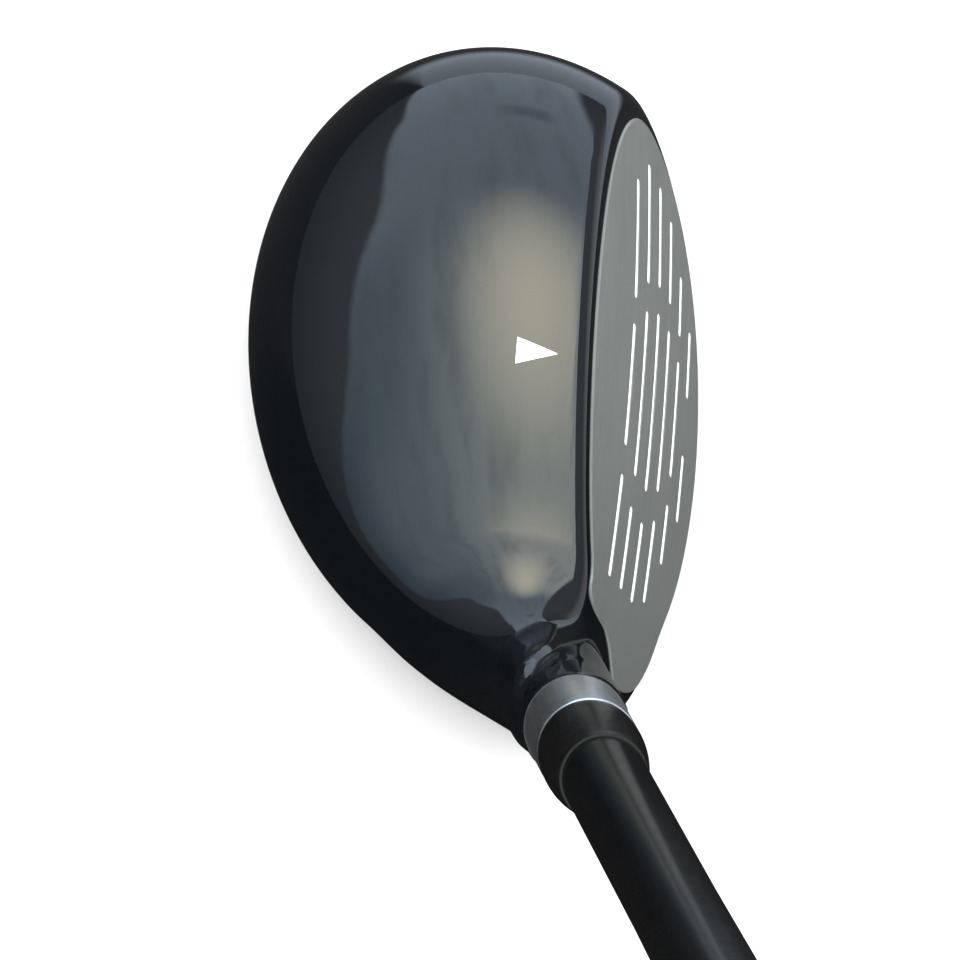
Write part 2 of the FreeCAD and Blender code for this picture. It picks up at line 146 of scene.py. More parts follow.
def pebble(points):
    """Two half ellipsoids that meet at the crown seam."""
    local = (points - HEAD_MIDDLE) @ HEAD_TURN
    tall = np.where(local[:, 2] > 0, CROWN_RISE, SKIRT_DROP)
    wide = np.column_stack([np.full(len(local), HALF_DEPTH), np.full(len(local), HALF_WIDTH),
                            tall])
    ratio = local / wide
    reach = np.maximum(length(ratio), 1e-6)
    return (reach - 1) * reach / np.maximum(length(ratio / wide), 1e-9)


def from_shaft(points):
    arm = points - SHAFT_FOOT
    station = arm @ SHAFT_LINE
    return length(arm - station[:, None] * SHAFT_LINE), station


def round_cut(a, b, radius):
    """What is inside both, with the edge rounded."""
    corner = np.hypot(np.maximum(a + radius, 0), np.maximum(b + radius, 0))
    return np.minimum(np.maximum(a, b), -radius) + corner


def round_join(a, b, radius):
    """What is inside either, with the hollow between them filled."""
    corner = np.hypot(np.maximum(radius - a, 0), np.maximum(radius - b, 0))
    return np.maximum(np.minimum(a, b), radius) - corner


def around_shaft(points):
    """How much a point lies towards the target, seen along the shaft: 1 in front, -1 behind."""
    arm = points - SHAFT_FOOT
    arm = arm - (arm @ SHAFT_LINE)[:, None] * SHAFT_LINE
    return arm[:, 0] / np.maximum(length(arm), 1e-6)


def neck(points, forward):
    off, station = from_shaft(points)
    low, high = NECK_SPAN
    swell = NECK_RADIUS - 4.24 * np.clip((low - station) / 24, 0, 1) ** 2
    waist = blend(NECK_RADIUS, NECK_WAIST, ease(low, high, station))
    full = np.where(station < low, swell, waist) - 0.2 * ease(49.7, 50.6, station)
    return off - blend(full, np.minimum(full, NECK_FRONT), ease(0.3, 0.9, forward))


def heel_core(points):
    """A slim cone from the heel to the top of the neck; the body flares into it."""
    axis = HEEL_TIP - HEEL_ROOT
    run = math.sqrt(axis @ axis)
    axis = axis / run
    arm = points - HEEL_ROOT
    along = arm @ axis
    off = length(arm - along[:, None] * axis)
    taper = (HEEL_ROOT_RADIUS - HEEL_TIP_RADIUS) / run
    return np.hypot(off, np.minimum(along, 0)) - HEEL_ROOT_RADIUS + taper * np.maximum(along, 0)


def flared(points):
    """The pebble, flared up into the neck and forward into the heel end of the face."""
    form = round_join(pebble(points), heel_core(points), HEEL_FLARE)
    corner = length(points - HEEL_CORNER) - HEEL_CORNER_RADIUS
    return round_join(form, corner, HEEL_CORNER_FILL)


def head(points):
    form = round_cut(flared(points), length(points - BALL_MIDDLE) - FACE_BALL + FACE_STANDS,
                     FACE_EDGE_ROUND)
    forward = around_shaft(points)
    form = round_join(form, neck(points, forward), blend(2.6, 0.8, ease(0.1, 0.85, forward)))
    return round_cut(form, -points[:, 2], SOLE_ROUND)


def slope_of(field, points, step=0.004):
    parts = []
    for axis in range(3):
        nudge = np.zeros(3)
        nudge[axis] = step
        parts.append((field(points + nudge) - field(points - nudge)) / (2 * step))
    return np.column_stack(parts)


def outward(field):
    def lean(points):
        slope = slope_of(field, points)
        return slope / np.maximum(length(slope), 1e-9)[:, None]
    return lean


def drawn_to(field, points, passes=5):
    for _ in range(passes):
        slope = slope_of(field, points)
        step = np.clip(field(points), -1.5, 1.5) / np.maximum((slope * slope).sum(axis=1), 0.2)
        points = points - step[:, None] * slope
    return points


# ---- meshes ------------------------------------------------------------------------

def read_points(mesh):
    flat = np.empty(len(mesh.vertices) * 3)
    mesh.vertices.foreach_get("co", flat)
    return flat.reshape(-1, 3) / MM


def write_points(mesh, points):
    mesh.vertices.foreach_set("co", (points * MM).ravel())
    mesh.update()


def new_piece(name, shape):
    """A piece from a bmesh whose points are in millimetres."""
    bmesh.ops.scale(shape, vec=(MM, MM, MM), verts=shape.verts)
    mesh = bpy.data.meshes.new(name)
    shape.to_mesh(mesh)
    shape.free()
    mesh.shade_smooth()
    piece = bpy.data.objects.new(name, mesh)
    bpy.context.scene.collection.objects.link(piece)
    return piece


def set_normals(mesh, lean, tolerance=0.8):
    """Exact shading normals where a face follows the surface that lean describes."""
    corner = np.empty(len(mesh.loops), int)
    mesh.loops.foreach_get("vertex_index", corner)
    flat = np.empty(len(mesh.polygons) * 3)
    mesh.polygons.foreach_get("normal", flat)
    sides = np.empty(len(mesh.polygons), int)
    mesh.polygons.foreach_get("loop_total", sides)
    own = np.repeat(flat.reshape(-1, 3), sides, axis=0)
    exact = lean(read_points(mesh))[corner]
    match = (exact * own).sum(axis=1)
    exact = np.where(match[:, None] < 0, -exact, exact)
    chosen = np.where(np.abs(match)[:, None] > tolerance, exact, own)
    mesh.normals_split_custom_set(chosen.tolist())


def evaluated(piece, name):
    """The piece with its modifiers applied, as a new mesh."""
    bpy.context.view_layer.update()
    graph = bpy.context.evaluated_depsgraph_get()
    mesh = bpy.data.meshes.new_from_object(piece.evaluated_get(graph))
    mesh.name = name
    return mesh


def swap_mesh(piece, mesh):
    old = piece.data
    piece.modifiers.clear()
    piece.data = mesh
    bpy.data.meshes.remove(old)


def to_shaft():
    """From a lathe's frame, Z along the bar, to the shaft axis, in millimetres."""
    turn = Vector((0, 0, 1)).rotation_difference(Vector(SHAFT_LINE)).to_matrix().to_4x4()
    return Matrix.Translation(Vector(SHAFT_FOOT)) @ turn


def turned(name, profile, steps=128):
    """A round piece on the shaft axis; profile is a closed loop of (radius, station)."""
    shape = bmesh.new()
    ring = [shape.verts.new((radius, 0, station)) for radius, station in profile]
    edges = [shape.edges.new((a, b)) for a, b in zip(ring, ring[1:] + ring[:1])]
    bmesh.ops.spin(shape, geom=ring + edges, cent=(0, 0, 0), axis=(0, 0, 1),
                   angle=math.tau, steps=steps, use_merge=True)
    bmesh.ops.remove_doubles(shape, verts=shape.verts, dist=1e-4)
    bmesh.ops.recalc_face_normals(shape, faces=shape.faces)
    bmesh.ops.transform(shape, matrix=to_shaft(), verts=shape.verts)
    piece = new_piece(name, shape)
    piece.data.set_sharp_from_angle(angle=math.radians(32))
    return piece


def wrapped(name, around, along, form):
    """A grid bent into form(turn, run), where both run from 0 to 1."""
    shape = bmesh.new()
    bmesh.ops.create_grid(shape, x_segments=around, y_segments=along, size=0.5)
    spots = np.array([vert.co[:2] for vert in shape.verts]) + 0.5
    for vert, place in zip(shape.verts, form(spots[:, 0], spots[:, 1])):
        vert.co = place
    bmesh.ops.remove_doubles(shape, verts=shape.verts, dist=1e-4)
    bmesh.ops.recalc_face_normals(shape, faces=shape.faces)
    return new_piece(name, shape)


def arc_points(start, end, bow, count):
    """Points on an arc between two (radius, station) points; bow is its height."""
    run = np.linspace(0, 1, count)
    line = np.outer(1 - run, start) + np.outer(run, end)
    along = np.subtract(end, start) / math.dist(start, end)
    side = np.array([along[1], -along[0]])
    return [tuple(p) for p in line + np.outer(4 * bow * run * (1 - run), side)]


# ---- the painted head ----------------------------------------------------------------

def head_blank():
    """Rough solid of the head, cut at the face and sole, with the neck and a ball at the heel."""
    shape = bmesh.new()
    bmesh.ops.create_uvsphere(shape, u_segments=128, v_segments=64, radius=1)
    for vert in shape.verts:
        vert.co.z *= CROWN_RISE if vert.co.z > 0 else SKIRT_DROP
    bmesh.ops.scale(shape, vec=(HALF_DEPTH, HALF_WIDTH, 1), verts=shape.verts)
    bmesh.ops.rotate(shape, matrix=Matrix(HEAD_TURN.tolist()), verts=shape.verts)
    bmesh.ops.translate(shape, vec=Vector(HEAD_MIDDLE), verts=shape.verts)
    for spot, normal in ((FACE_MIDDLE - 1.3 * FACE_OUT, FACE_OUT),
                         (np.zeros(3), np.array([0, 0, -1]))):
        cut = bmesh.ops.bisect_plane(shape, geom=shape.verts[:] + shape.edges[:] + shape.faces[:],
                                     plane_co=Vector(spot), plane_no=Vector(normal),
                                     clear_outer=True)
        rim = [item for item in cut["geom_cut"] if isinstance(item, bmesh.types.BMEdge)]
        bmesh.ops.contextual_create(shape, geom=rim)
    lathe = to_shaft()
    bmesh.ops.create_cone(shape, cap_ends=True, segments=96, radius1=7, radius2=6.4, depth=44,
                          matrix=lathe @ Matrix.Translation((0, 0, 34)))
    bmesh.ops.create_uvsphere(shape, u_segments=32, v_segments=16, radius=6,
                              matrix=Matrix.Translation((14, -33, 14)))
    bmesh.ops.triangulate(shape, faces=shape.faces)
    return new_piece("head_blank", shape)


def head_skin():
    """The outer skin of head and neck as one smooth closed mesh."""
    blank = head_blank()
    skin = blank.modifiers.new("skin", "REMESH")
    skin.mode = "VOXEL"
    skin.voxel_size = 0.5 * MM
    swap_mesh(blank, evaluated(blank, "head_blank"))
    for _ in range(3):
        shape = bmesh.new()
        shape.from_mesh(blank.data)
        for _ in range(2):
            bmesh.ops.smooth_vert(shape, verts=shape.verts, factor=0.5, use_axis_x=True,
                                  use_axis_y=True, use_axis_z=True)
        shape.to_mesh(blank.data)
        shape.free()
        write_points(blank.data, drawn_to(head, read_points(blank.data)))
    return blank


def split(shape, spot, normal, clear_outer=False):
    """Cuts along a plane; with clear_outer what lies beyond goes, and the hole stays open."""
    bmesh.ops.bisect_plane(shape, geom=shape.verts[:] + shape.edges[:] + shape.faces[:],
                           dist=1e-8, plane_co=Vector(spot), plane_no=Vector(normal),
                           clear_outer=clear_outer)


def painted_shells():
    """The crown and the body as two walled shells cut from one skin."""
    skin = head_skin()
    paint_end = (SHAFT_FOOT + NECK_TOP * SHAFT_LINE) * MM
    heel = np.array([0, HEEL_CUT, 0]) * MM
    seam = HEAD_MIDDLE * MM
    shells = []
    for name, wall in (("crown_shell", CROWN_WALL), ("body_shell", SKIRT_WALL)):
        shape = bmesh.new()
        shape.from_mesh(skin.data)
        split(shape, paint_end, SHAFT_LINE, clear_outer=True)
        split(shape, seam, SEAM_UP)
        split(shape, heel, (0, 1, 0))
        other = []
        for face in shape.faces:
            spot = face.calc_center_median()
            on_crown = (spot - Vector(seam)) @ Vector(SEAM_UP) > 0 and spot.y > heel[1]
            if on_crown != (name == "crown_shell"):
                other.append(face)
        bmesh.ops.delete(shape, geom=other, context="FACES")
        bmesh.ops.remove_doubles(shape, verts=shape.verts, dist=2e-5)
        for vert in shape.verts:
            if vert.is_boundary:
                _, station = from_shaft(np.array([vert.co]) / MM)
                if abs(station[0] - NECK_TOP) < 0.01:
                    arm = np.array(vert.co) / MM - SHAFT_FOOT
                    turn = math.atan2(arm[0], arm @ np.cross(SHAFT_LINE, (1, 0, 0)))
                    ragged = 0.03 * math.sin(5 * turn) + 0.02 * math.sin(13 * turn + 1)
                    vert.co += Vector(SHAFT_LINE) * ragged * MM
        inner = bmesh.ops.extrude_face_region(shape, geom=shape.faces[:], use_keep_orig=True)
        deep = [item for item in inner["geom"] if isinstance(item, bmesh.types.BMVert)]
        spots = np.array([vert.co for vert in deep]) / MM
        for vert, spot in zip(deep, (spots - wall * outward(head)(spots)) * MM):
            vert.co = spot
        bmesh.ops.recalc_face_normals(shape, faces=shape.faces)
        bmesh.ops.scale(shape, vec=(1 / MM, 1 / MM, 1 / MM), verts=shape.verts)
        shell = new_piece(name, shape)
        set_normals(shell.data, outward(head), 0.6)
        shells.append(shell)
    bpy.data.objects.remove(skin)
    return shells


# ---- the face ------------------------------------------------------------------------

def on_face(toe, up, sink=0.0):
    """A point on the bulged face, from its distances towards the toe and up the face."""
    aim = (FACE_OUT + np.outer(toe, FACE_TOE) / FACE_BALL + np.outer(up, FACE_UP) / FACE_BALL)
    aim = aim / length(aim)[:, None]
    return BALL_MIDDLE + aim * (FACE_BALL - np.reshape(sink, (-1, 1)))


def face_normal(points):
    arm = points - BALL_MIDDLE
    return arm / length(arm)[:, None]


def plate_outline(turn):
    """How far the plate reaches from its middle, in each direction."""
    near = np.zeros(len(turn))
    far = np.full(len(turn), 60.0)
    for _ in range(30):
        middle = (near + far) / 2
        spots = on_face(PLATE_MIDDLE[0] + middle * np.cos(turn),
                        PLATE_MIDDLE[1] + middle * np.sin(turn))
        off, _ = from_shaft(spots)
        corner = 0.3 + 6 * ease(18, 24, spots[:, 2])
        heel = ease(27, 34, -spots[:, 1])
        dipped = spots + np.outer(1 - heel, (0, PLATE_DIP, PLATE_DIP))
        inset = blend(PLATE_INSET, HEEL_INSET, heel)
        field = round_cut(flared(dipped) + inset, HEEL_RELIEF - off, corner)
        field = round_cut(field, 0.15 - spots[:, 2], 1.0)
        near = np.where(field < 0, middle, near)
        far = np.where(field < 0, far, middle)
    return near


def plate_form(turn_share, run):
    """Front, bevel, edge and back of the plate in one run from middle to middle."""
    turn = turn_share * math.tau
    reach = plate_outline(turn)
    rim = np.interp(run, [0, 0.80, 0.84, 0.88, 1], [0, 1, 1, 1, 0])
    sink = np.interp(run, [0, 0.80, 0.84, 0.88, 1],
                     [0, 0, 0.16, PLATE_THICK, PLATE_THICK])
    drawn = np.interp(run, [0, 0.80, 0.84, 1], [PLATE_BEVEL, PLATE_BEVEL, 0, 0])
    spread = np.maximum(reach - drawn, 0) * rim
    return on_face(PLATE_MIDDLE[0] + spread * np.cos(turn),
                   PLATE_MIDDLE[1] + spread * np.sin(turn), sink)


def stadium(share, half_run, half_width):
    """A point on the outline of a slot, share running round it once."""
    turn = share * math.tau
    toe = half_width * np.cos(turn) + np.sign(np.cos(turn)) * half_run
    return toe, half_width * np.sin(turn)


def score_lines(name, top, bottom):
    """Every score line as a slot-shaped block between two depths."""
    whole = bmesh.new()
    for row, lines in enumerate(SCORE_ROWS):
        level = (TOP_ROW - row) * SCORE_PITCH
        for toe_end, heel_end in lines:
            middle = (toe_end + heel_end) / 2
            half_run = (toe_end - heel_end) / 2

            def form(share, run):
                rim = np.interp(run, [0, 0.4, 0.6, 1], [0, 1, 1, 0])
                sink = np.interp(run, [0, 0.4, 0.6, 1], [top, top, bottom, bottom])
                toe, up = stadium(share, half_run, SCORE_HALF)
                return on_face(middle + toe * rim, level + up * rim, sink)

            block = wrapped("slot", 40, 10, form)
            whole.from_mesh(block.data)
            mesh = block.data
            bpy.data.objects.remove(block)
            bpy.data.meshes.remove(mesh)
    bmesh.ops.scale(whole, vec=(1 / MM, 1 / MM, 1 / MM), verts=whole.verts)
    return new_piece(name, whole)


def face_plate():
    plate = wrapped("brushed_face", 420, 75, plate_form)
    cutter = score_lines("score_cutter", -0.5, SCORE_DEPTH)
    slots = plate.modifiers.new("slots", "BOOLEAN")
    slots.operation = "DIFFERENCE"
    slots.solver = "EXACT"
    slots.object = cutter
    swap_mesh(plate, evaluated(plate, "brushed_face"))
    bpy.data.objects.remove(cutter)
    plate.data.shade_smooth()
    set_normals(plate.data, face_normal, 0.97)
    return plate


def alignment_mark():
    """A small plain white triangle that points at the target."""
    def form(share, run):
        x = blend(0.8, 5.7, run)
        y = -5.4 + (share - 0.5) * 3.3 * (1 - 0.97 * run)
        spots = np.column_stack([x, y, np.full(len(x), 37.0)])
        for _ in range(12):
            spots[:, 2] -= pebble(spots) - 0.04
        return spots
    mark = wrapped("alignment_mark", 24, 30, form)
    shape = bmesh.new()
    shape.from_mesh(mark.data)
    bmesh.ops.solidify(shape, geom=shape.faces[:], thickness=0.09 * MM)
    bmesh.ops.recalc_face_normals(shape, faces=shape.faces)
    shape.to_mesh(mark.data)
    shape.free()
    mark.data.shade_smooth()
    set_normals(mark.data, outward(pebble), 0.9)
    return mark


# ---- the round pieces --------------------------------------------------------------

def hosel_sleeve():
    return turned("hosel_sleeve", [
        (HOSEL_BORE, HOSEL_FOOT), (HOSEL_RADIUS, HOSEL_FOOT), (HOSEL_RADIUS, NECK_TOP - 3),
        (HOSEL_RADIUS, HOSEL_TOP - 0.45), (6.1, HOSEL_TOP - 0.25), (5.98, HOSEL_TOP - 0.06),
        (5.9, HOSEL_TOP), (HOSEL_BORE, HOSEL_TOP)], 192)


def ferrule():
    side = arc_points((6.02, HOSEL_TOP + 0.12), (5.3, FERRULE_END - 0.9), 0.42, 24)
    return turned("ferrule_collar", [
        (FERRULE_BORE, HOSEL_TOP), (5.9, HOSEL_TOP)] + side + [
        (5.26, FERRULE_END - 0.8), (5.26, FERRULE_END - 0.7), (5.31, FERRULE_END - 0.6),
        (5.31, FERRULE_END - 0.2), (5.25, FERRULE_END - 0.05), (5.12, FERRULE_END),
        (FERRULE_BORE, FERRULE_END)], 192)


def shaft_tube():
    taper = [(blend(SHAFT_RADIUS, BUTT_RADIUS, t), blend(TAPER[0], TAPER[1], t))
             for t in np.linspace(0, 1, 60)]
    return turned("shaft_tube", [
        (SHAFT_BORE, TIP_STATION), (TIP_RADIUS, TIP_STATION), (TIP_RADIUS, FERRULE_END - 0.4),
        (SHAFT_RADIUS, FERRULE_END - 0.3), (SHAFT_RADIUS, 110)] + taper + [
        (BUTT_RADIUS, 1009.5), (6.5, 1009.5), (6.5, TAPER[1]), (SHAFT_BORE, TAPER[0])], 128)


def grip_depth(turn, station):
    """How deep the moulded pattern is cut below the outside of the grip."""
    start, end = GRIP
    share = (station - start) / (end - start)
    around = turn * math.tau
    pitch = 3.4
    radius = blend(*GRIP_RADII, share)
    count = 12
    lead = count * pitch * 1.5
    groove = 0
    for hand in (1, -1):
        phase = (around * count / math.tau + hand * count * station / lead) % 1
        off = np.minimum(phase, 1 - phase) * math.tau * radius / count
        groove = np.maximum(groove, 1 - ease(0.25, 0.85, off))
    panel = ease(0.045, 0.05, share) * (1 - ease(0.955, 0.96, share))
    bare = ease(0.40, 0.403, share) * (1 - ease(0.427, 0.43, share))
    rings = 0
    for middle in (0.03, 0.40, 0.43, 0.975):
        rings = np.maximum(rings, 1 - ease(0.35, 0.9, np.abs(share - middle) * (end - start)))
    return np.maximum(0.38 * groove * panel * (1 - bare), 0.45 * rings)


def grip_sleeve():
    start, end = GRIP
    lathe = np.array(to_shaft())

    def form(turn, run):
        station = np.interp(run, [0, 0.01, 0.02, 0.98, 0.99, 1],
                            [start, start, start + 1.5, end, end, start])
        outer = np.interp(station, [start, start + 1.5, end], [9.5, *GRIP_RADII])
        depth = np.where((run > 0.02) & (run < 0.98), grip_depth(turn, station), 0)
        radius = np.where((run <= 0) | (run >= 0.99), GRIP_BORE, outer - depth)
        around = turn * math.tau
        spots = np.column_stack([radius * np.cos(around), radius * np.sin(around), station])
        return spots @ lathe[:3, :3].T + lathe[:3, 3]

    return wrapped("grip_sleeve", 132, 660, form)


def grip_cap():
    dome = arc_points((12.9, CLUB_LENGTH - 1.45), (3.4, CLUB_LENGTH - 0.1), 0.3, 14)
    return turned("grip_cap_disc", [
        (1.6, GRIP[1]), (13.5, GRIP[1]), (14.1, GRIP[1] + 0.15), (14.5, GRIP[1] + 0.6),
        (14.7, GRIP[1] + 1.2), (14.62, GRIP[1] + 1.8), (14.2, GRIP[1] + 3.1),
        (13.8, GRIP[1] + 4.1), (13.3, GRIP[1] + 4.4)] + dome + [
        (3.1, CLUB_LENGTH - 0.35), (2.7, CLUB_LENGTH - 0.35), (2.4, CLUB_LENGTH - 0.1),
        (1.8, CLUB_LENGTH - 0.1), (1.6, CLUB_LENGTH - 0.3)], 128)


# ---- shader maths --------------------------------------------------------------------

class Value:
    """A socket that can be added and multiplied like a number."""

    def __init__(self, bench, socket):
        self.bench = bench
        self.socket = socket

    def of(self, name):
        return Value(self.bench, self.socket.node.outputs[name])

    def maths(self, operation, *terms):
        sockets = dict(enumerate(terms))
        return self.bench.node("ShaderNodeMath", {"operation": operation}, sockets)

    def __add__(self, other):
        return self.maths("ADD", self, other)

    __radd__ = __add__

    def __sub__(self, other):
        return self.maths("SUBTRACT", self, other)

    def __rsub__(self, other):
        return self.maths("SUBTRACT", other, self)

    def __mul__(self, other):
        return self.maths("MULTIPLY", self, other)

    __rmul__ = __mul__

    def __truediv__(self, other):
        return self.maths("DIVIDE", self, other)

    def __pow__(self, other):
        return self.maths("POWER", self, other)

    def larger(self, other):
        return self.maths("MAXIMUM", self, other)

    def over(self, low, high):
        """0 below low, 1 above high, and smooth between them."""
        settings = {"interpolation_type": "SMOOTHSTEP"}
        return self.bench.node("ShaderNodeMapRange", settings,
                               {"Value": self, "From Min": low, "From Max": high})


class Bench:
    """Adds nodes to one node tree."""

    def __init__(self, tree):
        self.tree = tree

    def node(self, kind, settings, sockets, out=0):
        """One node: its settings first, then its sockets; gives back one output."""
        made = self.tree.nodes.new(kind)
        for name, value in settings.items():
            if name == "stops":
                while len(made.color_ramp.elements) < len(value):
                    made.color_ramp.elements.new(0.5)
                for stop, (place, colour) in zip(made.color_ramp.elements, value):
                    stop.position = place
                    stop.color = colour
            else:
                setattr(made, name, value)
        for key, value in sockets.items():
            if isinstance(value, Value):
                self.tree.links.new(value.socket, made.inputs[key])
            else:
                made.inputs[key].default_value = value
        return Value(self, made.outputs[out]) if made.outputs else None

    def mixed(self, share, first, second):
        """A colour between two colours."""
        settings = {"data_type": "RGBA"}
        return self.node("ShaderNodeMix", settings, {0: share, 6: first, 7: second}, 2)


class Finish(Bench):
    """One material; fixed values go straight on the shader's sockets."""

    def __init__(self, name, **fixed):
        self.material = bpy.data.materials.new(name)
        self.material.use_nodes = True
        super().__init__(self.material.node_tree)
        self.shader = self.tree.nodes["Principled BSDF"]
        for socket, value in fixed.items():
            self.shader.inputs[socket.replace("_", " ")].default_value = value

    def feed(self, socket, value):
        self.tree.links.new(value.socket, self.shader.inputs[socket])

    def spot(self, scale=(1, 1, 1), turn=(0, 0, 0)):
        """Object coordinates, in millimetres, turned and then stretched."""
        object_space = self.node("ShaderNodeTexCoord", {}, {}).of("Object")
        turned_space = self.node("ShaderNodeVectorRotate", {"rotation_type": "EULER_XYZ"},
                                 {"Vector": object_space, "Rotation": turn})
        stretch = tuple(1000 * s for s in scale)
        return self.node("ShaderNodeVectorMath", {"operation": "MULTIPLY"},
                         {0: turned_space, 1: stretch})

    def noise(self, spot, scale, detail=2.0, roughness=0.5):
        return self.node("ShaderNodeTexNoise", {}, {"Vector": spot, "Scale": scale,
                                                    "Detail": detail, "Roughness": roughness})

    def raised(self, height, distance, strength=1.0):
        bump = self.node("ShaderNodeBump", {}, {"Height": height, "Distance": distance * MM,
                                                "Strength": strength})
        self.feed("Normal", bump)


def grey(value, alpha=1):
    return (value, value, value, alpha)


ALONG_SHAFT = (math.pi / 2 - LIE, 0, 0)      # brings the shaft axis upright


def gloss_paint():
    """Deep black lacquer with a trace of navy, polished flat, with a little dust."""
    finish = Finish("black_lacquer", IOR=1.5)
    spot = finish.spot()
    cloud = finish.noise(spot, 0.05, 3)
    finish.feed("Base Color", finish.mixed(cloud, (0.0016, 0.0022, 0.0030, 1),
                                           (0.0028, 0.0036, 0.0046, 1)))
    dust = finish.node("ShaderNodeTexVoronoi", {}, {"Vector": spot, "Scale": 0.35})
    speck = 1 - dust.of("Distance").over(0.02, 0.045)
    wipe = finish.noise(finish.spot((0.12, 1, 1), (0, 0, 0.6)), 0.5, 4)
    finish.feed("Roughness", 0.035 + 0.03 * wipe + 0.3 * speck)
    peel = finish.noise(spot, 0.6, 1)
    finish.raised(peel, 0.004)
    return finish.material


def brushed_steel():
    """Face steel brushed from heel to toe, with painted shade that darkens it towards the heel.
    """
    finish = Finish("face_steel", Metallic=0.6, IOR=1.5)
    fine = finish.noise(finish.spot((1, 0.02, 1)), 7.0, 4, 0.65)
    broad = finish.noise(finish.spot((1, 0.03, 1)), 1.3, 3, 0.6)
    patch = finish.noise(finish.spot((0.6, 0.2, 0.6)), 0.25, 2)
    along = finish.node("ShaderNodeSeparateXYZ", {}, {"Vector": finish.spot()}).of("Y")
    # Painted shade: the brushed tone is scaled down towards the heel (negative Y), so the steel
    # there looks like it catches a dimmer reflection.
    tone = (0.45 * fine + 0.3 * broad + 0.25 * patch) * (0.3 + 0.7 * along.over(-50, 5))
    finish.feed("Base Color", finish.mixed(tone, (0.15, 0.163, 0.157, 1),
                                           (0.33, 0.345, 0.335, 1)))
    finish.feed("Roughness", 0.26 + 0.22 * fine)
    finish.raised(fine + 0.5 * broad, 0.02, 0.6)
    return finish.material


def turned_steel():
    """Bare steel of the hosel, drawn along the shaft, with a worn shine."""
    finish = Finish("hosel_steel", Metallic=1.0)
    drawn = finish.noise(finish.spot((1, 1, 0.04), ALONG_SHAFT), 3.2, 4, 0.6)
    ring = finish.noise(finish.spot((0.05, 0.05, 1), ALONG_SHAFT), 9.0, 3, 0.6)
    tone = 0.7 * drawn + 0.3 * ring
    finish.feed("Base Color", finish.mixed(tone, (0.34, 0.36, 0.375, 1), (0.92, 0.95, 0.98, 1)))
    finish.feed("Roughness", 0.24 + 0.15 * drawn)
    finish.raised(drawn, 0.012, 0.5)
    return finish.material


def line_paint():
    """Flat white paint with a faintly grainy surface."""
    finish = Finish("white_paint", Roughness=0.5, IOR=1.45)
    grain = finish.noise(finish.spot(), 6.0, 3)
    finish.feed("Base Color", finish.mixed(grain, grey(0.84), grey(0.93)))
    finish.raised(grain, 0.01, 0.5)
    return finish.material


def ferrule_plastic():
    finish = Finish("ferrule_plastic", IOR=1.3, Specular_IOR_Level=0.3)
    turning = finish.noise(finish.spot((0.03, 0.03, 1), ALONG_SHAFT), 5.0, 3)
    smear = finish.noise(finish.spot((1, 1, 0.2), ALONG_SHAFT), 0.6, 3)
    finish.feed("Base Color", finish.mixed(smear, grey(0.003), grey(0.006)))
    finish.feed("Roughness", 0.20 + 0.12 * smear)
    finish.raised(turning, 0.002)
    return finish.material


def shaft_lacquer():
    finish = Finish("shaft_lacquer", IOR=1.3, Specular_IOR_Level=0.24)
    cloud = finish.noise(finish.spot((1, 1, 0.15), ALONG_SHAFT), 0.5, 4)
    wrap = finish.noise(finish.spot((0.3, 0.3, 1), ALONG_SHAFT), 1.2, 3, 0.6)
    finish.feed("Base Color", finish.mixed(cloud, (0.0015, 0.0018, 0.002, 1),
                                           (0.004, 0.0045, 0.005, 1)))
    finish.feed("Roughness", 0.16 + 0.14 * wrap)
    finish.raised(wrap, 0.005)
    return finish.material


def grip_rubber():
    finish = Finish("grip_rubber", IOR=1.45)
    grain = finish.noise(finish.spot(), 5.0, 4, 0.6)
    patch = finish.noise(finish.spot((1, 1, 0.3), ALONG_SHAFT), 0.12, 3)
    finish.feed("Base Color", finish.mixed(0.6 * grain + 0.4 * patch, grey(0.012), grey(0.032)))
    finish.feed("Roughness", 0.62 + 0.25 * grain)
    finish.raised(grain, 0.05)
    return finish.material


def brass():
    finish = Finish("tip_brass", Metallic=1.0)
    turning = finish.noise(finish.spot((0.04, 0.04, 1), ALONG_SHAFT), 6.0, 3)
    finish.feed("Base Color", finish.mixed(turning, (0.55, 0.36, 0.13, 1), (0.78, 0.56, 0.25, 1)))
    finish.feed("Roughness", 0.28 + 0.2 * turning)
    finish.raised(turning, 0.01)
    return finish.material


def epoxy():
    finish = Finish("glue", IOR=1.5, Roughness=0.3)
    lumps = finish.noise(finish.spot(), 0.4, 4)
    finish.feed("Base Color", finish.mixed(lumps, (0.30, 0.20, 0.07, 1), (0.50, 0.38, 0.16, 1)))
    finish.raised(lumps, 0.3)
    return finish.material


def cast_weight():
    finish = Finish("weight_metal", Metallic=0.9)
    grain = finish.noise(finish.spot(), 2.0, 5, 0.6)
    finish.feed("Base Color", finish.mixed(grain, grey(0.10), grey(0.24)))
    finish.feed("Roughness", 0.45 + 0.25 * grain)
    finish.raised(grain, 0.08)
    return finish.material


def paper_tape():
    finish = Finish("tape", Roughness=0.9)
    crepe = finish.noise(finish.spot((0.15, 0.15, 1), ALONG_SHAFT), 1.6, 4, 0.6)
    finish.feed("Base Color", finish.mixed(crepe, (0.62, 0.55, 0.40, 1), (0.80, 0.74, 0.58, 1)))
    finish.raised(crepe, 0.15)
    return finish.material


